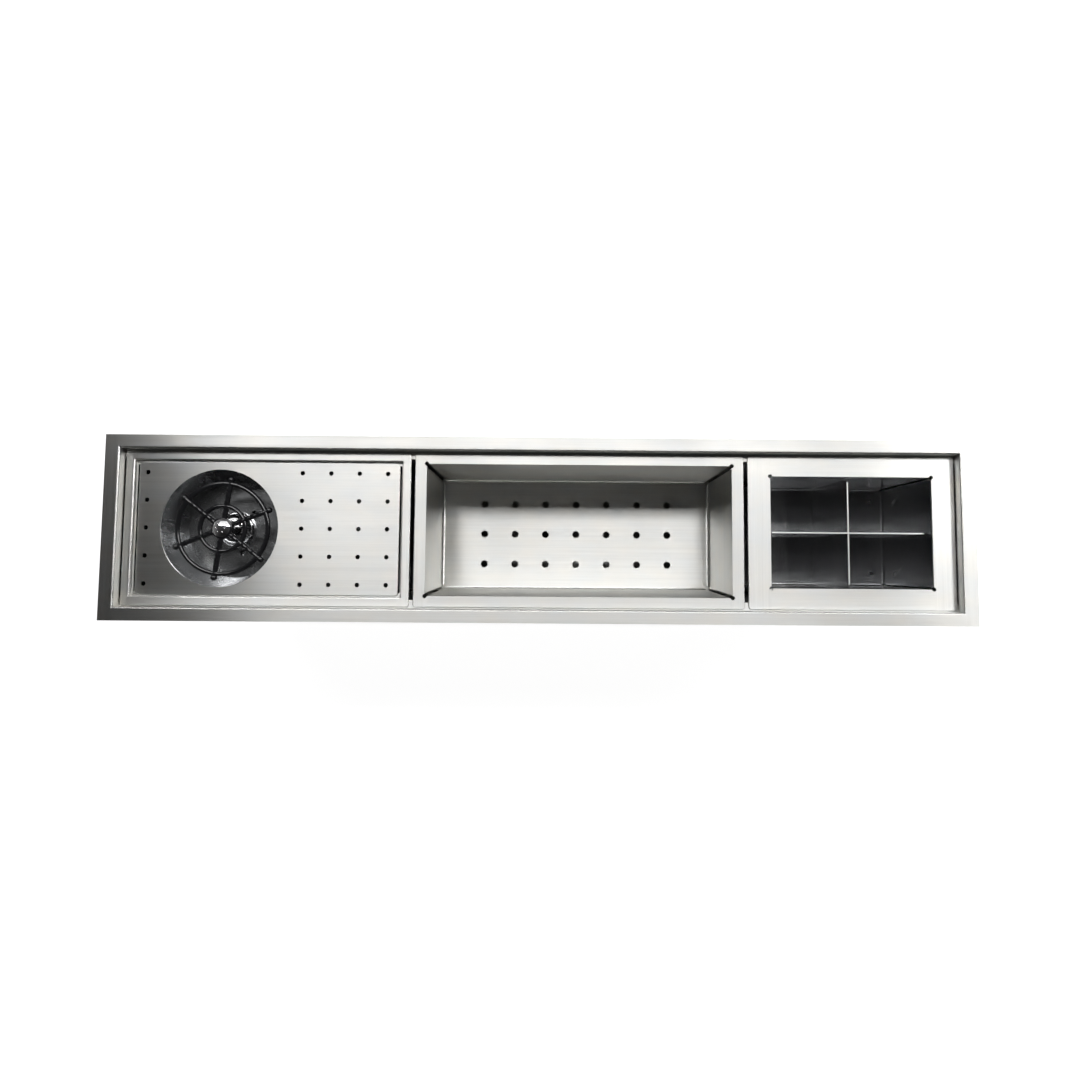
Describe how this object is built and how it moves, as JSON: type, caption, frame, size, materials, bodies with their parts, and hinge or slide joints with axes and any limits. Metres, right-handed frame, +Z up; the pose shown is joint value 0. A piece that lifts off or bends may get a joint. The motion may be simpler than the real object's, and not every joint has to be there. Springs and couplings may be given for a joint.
{
  "type": "undermount channel sink",
  "caption": "Long narrow steel trough with a flat flange, holding a lift-out glass-rinser tray, a perforated basket and a divided condiment box over a bottom drain.",
  "frame": {"origin": "centre of the flange's top face, in the plane that meets the underside of the worktop", "axes": "+X along the trough from the rinser to the condiment box, +Y to the back, +Z up"},
  "size_m": [0.752, 0.16, 0.26],
  "materials": {
    "trough_steel": "brushed stainless steel",
    "module_steel": "fine brushed stainless steel",
    "drain_steel": "satin stainless steel",
    "polished_steel": "polished stainless steel",
    "spring_steel": "drawn wire",
    "chrome": "polished chrome",
    "brass": "machined brass",
    "black_plastic": "moulded, semi-gloss",
    "grey_plastic": "moulded, matte",
    "white_plastic": "moulded, matte",
    "black_rubber": "matte rubber"
  },
  "bodies": {
    "channel": {"channel_body": "trough_steel", "end_wall_left": "trough_steel", "end_wall_right": "trough_steel", "hose_grommet": "black_rubber", "drain_body": "drain_steel", "drain_top_seal": "black_rubber", "drain_rubber_washer": "black_rubber", "drain_friction_ring": "white_plastic", "drain_lock_nut": "grey_plastic", "tailpiece": "white_plastic", "tailpiece_washer": "white_plastic", "coupling_nut": "grey_plastic"},
    "strainer": {"strainer_basket": "drain_steel", "strainer_post": "chrome", "strainer_knob": "black_plastic", "strainer_nut": "chrome"},
    "rinser_unit": {"rinser_tray": "module_steel", "rinser_bowl": "polished_steel", "bowl_gasket": "black_rubber", "tray_washer": "black_rubber", "slip_washer": "white_plastic", "mounting_nut": "brass", "valve_body": "chrome", "guide_dome": "chrome", "return_spring": "spring_steel"},
    "drip_cover": {"drip_plate": "module_steel"},
    "sprinkler": {"rinser_star": "black_plastic", "nozzle_cap": "chrome", "valve_stem": "black_plastic", "stem_seal": "black_rubber", "poppet": "black_plastic", "poppet_seal": "black_rubber"},
    "colander": {"colander_basket": "module_steel"},
    "condiment_unit": {"condiment_box": "module_steel"},
    "divider": {"divider_long": "module_steel", "divider_cross": "module_steel"}
  },
  "joints": [
    {"name": "rinser_tray_lift", "type": "slide", "parent": "channel", "child": "rinser_unit", "axis": [0, 0, 1], "range_m": [0, 0.13]},
    {"name": "drip_plate_lift", "type": "slide", "parent": "rinser_unit", "child": "drip_cover", "axis": [0, 0, 1], "range_m": [0, 0.06]},
    {"name": "sprinkler_press", "type": "slide", "parent": "rinser_unit", "child": "sprinkler", "axis": [0, 0, 1], "range_m": [-0.006, 0], "stiffness_N_per_m": 400, "springref_m": 0.01, "deforming": ["return_spring"]},
    {"name": "colander_lift", "type": "slide", "parent": "channel", "child": "colander", "axis": [0, 0, 1], "range_m": [0, 0.12]},
    {"name": "condiment_box_lift", "type": "slide", "parent": "channel", "child": "condiment_unit", "axis": [0, 0, 1], "range_m": [0, 0.12]},
    {"name": "divider_lift", "type": "slide", "parent": "condiment_unit", "child": "divider", "axis": [0, 0, 1], "range_m": [0, 0.1]},
    {"name": "strainer_lift", "type": "slide", "parent": "channel", "child": "strainer", "axis": [0, 0, 1], "range_m": [0, 0.0378]}
  ]
}
